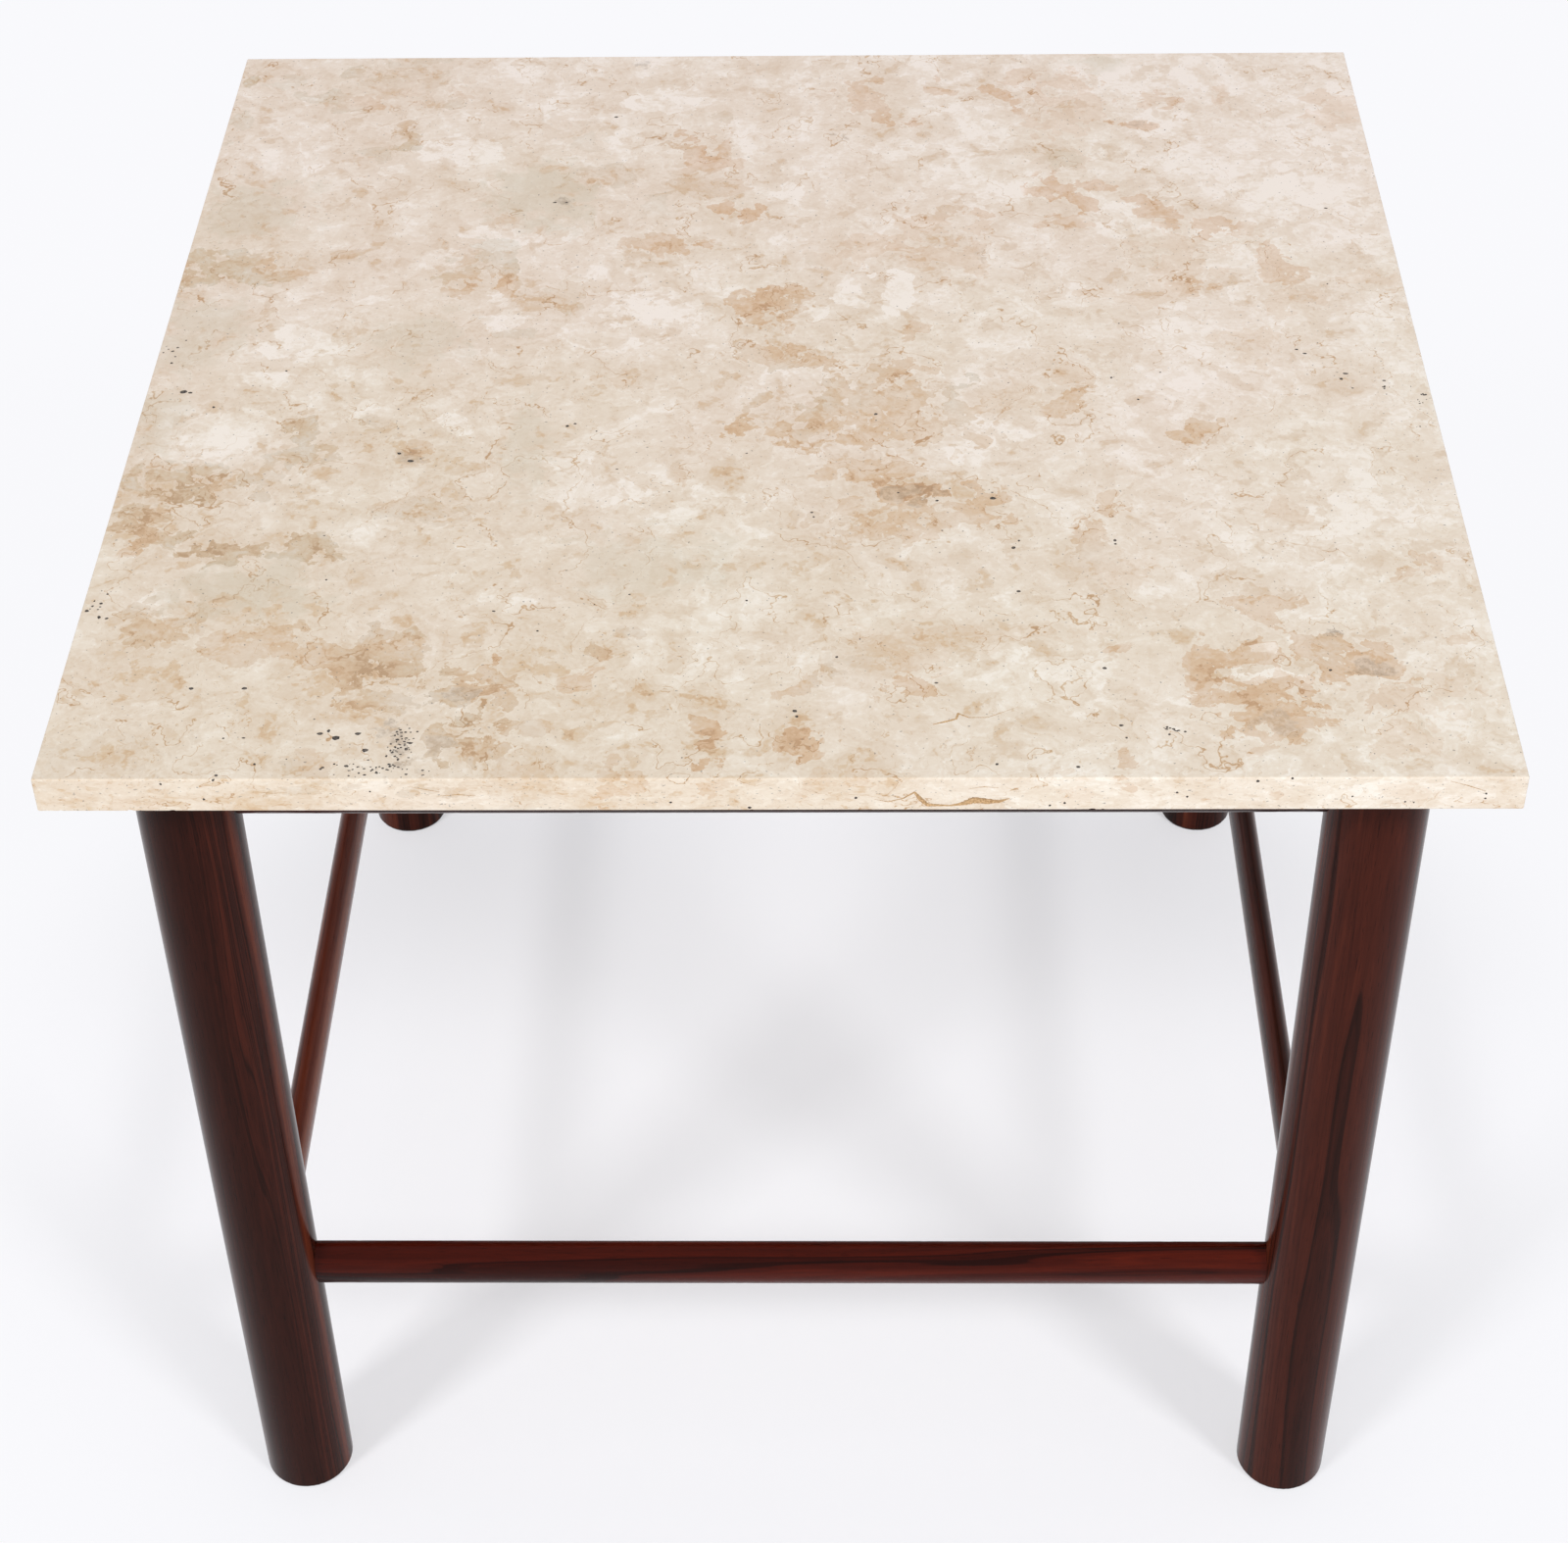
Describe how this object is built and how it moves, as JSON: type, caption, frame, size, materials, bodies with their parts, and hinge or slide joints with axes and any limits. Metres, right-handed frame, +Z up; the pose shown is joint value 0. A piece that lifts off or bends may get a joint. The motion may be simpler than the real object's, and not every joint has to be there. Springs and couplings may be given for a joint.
{
  "type": "side table",
  "caption": "Square side table: a loose travertine slab resting on straight round legs of dark rosewood, tied by slim oval stretchers and upper rails.",
  "frame": {"origin": "on the floor, below the middle of the slab", "axes": "+Z up, +X to the right and +Y to the back as seen from the front"},
  "size_m": [0.7, 0.7, 0.595],
  "materials": {
    "travertine": "satin",
    "rosewood": "gloss",
    "felt": "matte"
  },
  "bodies": {
    "base": {"leg_front_left": "rosewood", "leg_front_right": "rosewood", "leg_back_left": "rosewood", "leg_back_right": "rosewood", "stretcher_front": "rosewood", "stretcher_back": "rosewood", "stretcher_left": "rosewood", "stretcher_right": "rosewood", "upper_rail_front": "rosewood", "upper_rail_back": "rosewood", "upper_rail_left": "rosewood", "upper_rail_right": "rosewood", "top_felt_front_left": "felt", "top_felt_front_right": "felt", "top_felt_back_left": "felt", "top_felt_back_right": "felt", "foot_felt_front_left": "felt", "foot_felt_front_right": "felt", "foot_felt_back_left": "felt", "foot_felt_back_right": "felt"},
    "top": {"stone_top": "travertine"}
  },
  "joints": [
    {"name": "top_lift", "type": "slide", "parent": "base", "child": "top", "axis": [0, 0, 1], "range_m": [0, 0.15]}
  ]
}
